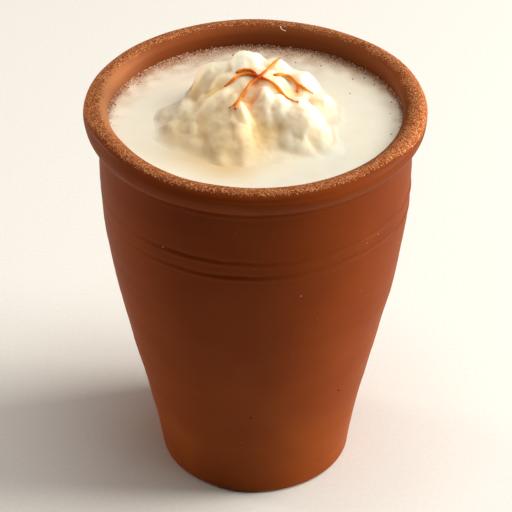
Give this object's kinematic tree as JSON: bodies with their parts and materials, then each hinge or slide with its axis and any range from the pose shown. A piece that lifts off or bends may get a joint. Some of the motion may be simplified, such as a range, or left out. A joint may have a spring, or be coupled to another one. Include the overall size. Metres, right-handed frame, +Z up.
{
  "type": "cup of lassi",
  "caption": "Tapered unglazed clay cup with a rolled lip, filled with creamy yogurt drink, a heap of clotted cream afloat and saffron threads on top.",
  "frame": {"origin": "centre of the cup's foot, on the surface it stands on", "axes": "+Z up along the cup's axis, -Y towards the side that the picture shows, +X to that view's right"},
  "size_m": [0.089, 0.089, 0.1217],
  "materials": {
    "terracotta": "unglazed fired clay, matt and slightly gritty, with fine throwing marks",
    "lassi": "opaque creamy drink, soft gloss, fine foam and dark specks round its edge",
    "malai": "clotted cream, moist and translucent, torn crags",
    "saffron": "soaked saffron threads, orange to deep red"
  },
  "bodies": {
    "root": {"clay_cup": "terracotta", "lassi": "lassi", "malai_mound": "malai", "saffron_long": "saffron", "saffron_arc": "saffron", "saffron_short": "saffron", "saffron_side": "saffron"}
  },
  "joints": []
}
